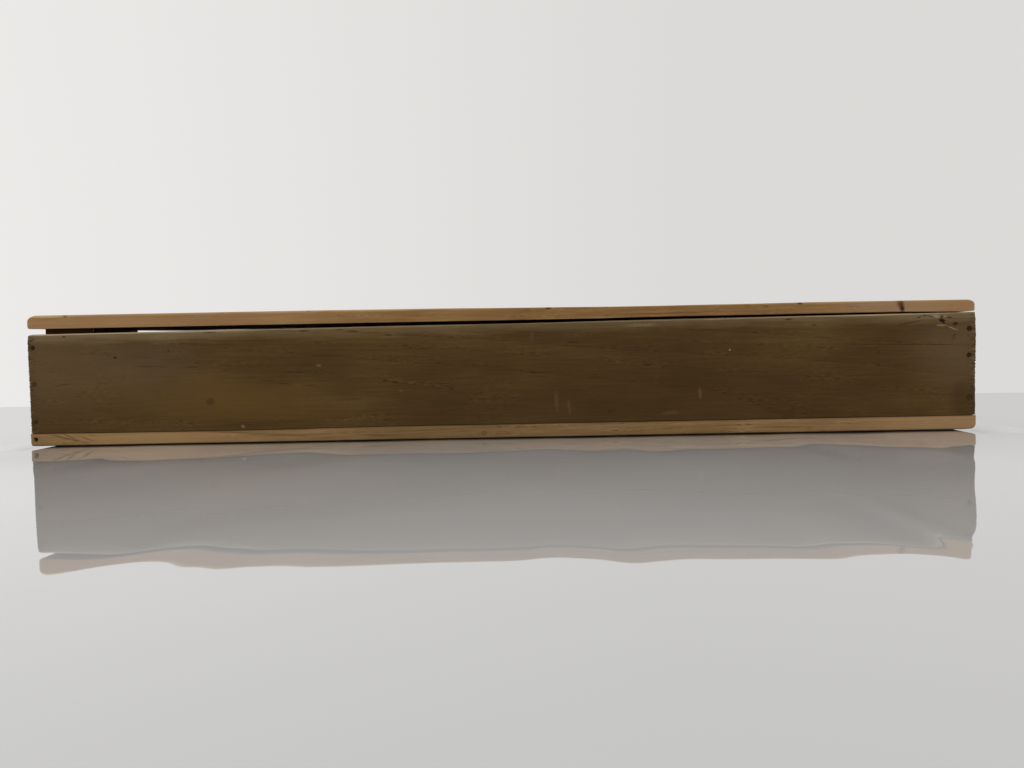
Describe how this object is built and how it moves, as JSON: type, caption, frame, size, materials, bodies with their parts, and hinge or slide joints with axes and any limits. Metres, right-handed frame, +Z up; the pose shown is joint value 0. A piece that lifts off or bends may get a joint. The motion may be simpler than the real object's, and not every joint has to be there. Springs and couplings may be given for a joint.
{
  "type": "scroll box",
  "caption": "Long narrow wooden box for a hanging scroll, with pegged corners, notched rests for the roller's knobs and a loose flat lid on cleats.",
  "frame": {"origin": "bottom centre of the box, on the plane that the bottom board stands on", "axes": "+X along the box to the right as seen from the front, +Y to the back, +Z up through the lid"},
  "size_m": [0.6088, 0.0798, 0.0858],
  "materials": {
    "wall_wood": "aged dark paulownia, worn matt",
    "board_wood": "aged tan paulownia, worn matt",
    "inner_wood": "planed paulownia, less aged",
    "peg_wood": "dark end grain"
  },
  "bodies": {
    "box": {"bottom_board": "board_wood", "front_wall": "wall_wood", "back_wall": "wall_wood", "left_end_wall": "wall_wood", "right_end_wall": "wall_wood", "left_roller_rest": "inner_wood", "right_roller_rest": "inner_wood", "front_left_corner_pegs": "peg_wood", "front_right_corner_pegs": "peg_wood", "back_left_corner_pegs": "peg_wood", "back_right_corner_pegs": "peg_wood", "front_bottom_pegs": "peg_wood", "back_bottom_pegs": "peg_wood", "left_bottom_pegs": "peg_wood", "right_bottom_pegs": "peg_wood"},
    "lid": {"lid_board": "board_wood", "left_lid_cleat": "inner_wood", "right_lid_cleat": "inner_wood", "left_cleat_pegs": "peg_wood", "right_cleat_pegs": "peg_wood"}
  },
  "joints": [
    {"name": "lid_lift", "type": "slide", "parent": "box", "child": "lid", "axis": [0, 0, 1], "range_m": [0, 0.12]}
  ]
}
